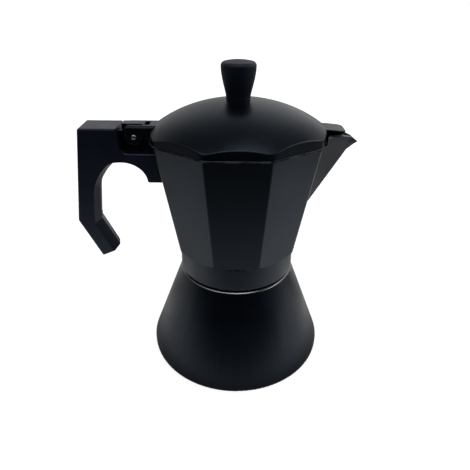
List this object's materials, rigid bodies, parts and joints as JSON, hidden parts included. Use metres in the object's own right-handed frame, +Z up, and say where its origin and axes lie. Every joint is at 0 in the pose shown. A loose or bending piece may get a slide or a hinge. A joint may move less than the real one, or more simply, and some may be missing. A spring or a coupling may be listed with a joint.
{
  "type": "moka pot",
  "caption": "Black stovetop moka pot with a wide cone-shaped boiler, octagonal jug, V spout, hinged domed lid with a turned knob and an angular side handle",
  "frame": {"origin": "middle of the underside, on the plane the pot stands on and on the screw axis", "axes": "+Z up along the screw axis, handle on -X, spout on +X, safety valve at the back on +Y"},
  "size_m": [0.1652, 0.1156, 0.1852],
  "materials": {
    "black_coating": "satin black non-stick coating on cast aluminium",
    "black_plastic": "satin black heat-resistant moulding",
    "raw_aluminium": "plain spun and pressed aluminium",
    "base_steel": "circular brushed ferritic steel",
    "valve_brass": "turned brass",
    "screw_steel": "bright stainless steel",
    "white_rubber": "matt off-white silicone rubber"
  },
  "bodies": {
    "boiler": {"boiler": "black_coating", "induction_plate": "base_steel", "valve_body": "valve_brass", "valve_washer": "white_rubber", "valve_cap": "valve_brass", "valve_spring": "screw_steel"},
    "valve_plunger": {"valve_plunger": "valve_brass"},
    "funnel": {"funnel": "raw_aluminium", "funnel_plate": "raw_aluminium"},
    "gasket": {"gasket": "white_rubber"},
    "filter_plate": {"filter_plate": "raw_aluminium"},
    "jug": {"jug": "black_coating", "column": "raw_aluminium", "column_cap": "raw_aluminium", "handle": "black_plastic", "handle_screw": "screw_steel", "hinge_pin": "screw_steel"},
    "lid": {"lid": "black_coating", "knob": "black_plastic", "knob_screw": "screw_steel", "knob_washer": "screw_steel"}
  },
  "joints": [
    {"name": "valve_lift", "type": "slide", "parent": "boiler", "child": "valve_plunger", "axis": [0, 0.9342, 0.3568], "range_m": [0, 0.0015], "stiffness_N_per_m": 2000, "springref_m": -0.002, "deforming": ["valve_spring"]},
    {"name": "funnel_lift", "type": "slide", "parent": "boiler", "child": "funnel", "axis": [0, 0, 1], "range_m": [0, 0.065]},
    {"name": "jug_lift_off", "type": "slide", "parent": "boiler", "child": "gasket", "axis": [0, 0, 1], "range_m": [0, 0.13]},
    {"name": "thread_rise", "type": "slide", "parent": "gasket", "child": "filter_plate", "axis": [0, 0, 1], "range_m": [0, 0.0038]},
    {"name": "jug_unscrew", "type": "hinge", "parent": "filter_plate", "child": "jug", "pos_m": [0, 0, 0.0742], "axis": [0, 0, 1], "range_deg": [0, 450]},
    {"name": "lid_hinge", "type": "hinge", "parent": "jug", "child": "lid", "pos_m": [-0.0577, 0, 0.1455], "axis": [0, -1, 0], "range_deg": [0, 105]}
  ],
  "couplings": [
    {"joint": "thread_rise", "follows": "jug_unscrew", "m_per_rad": 0.00047746},
    {"joint": "funnel_lift", "follows": "jug_lift_off", "ratio": 0.5}
  ]
}
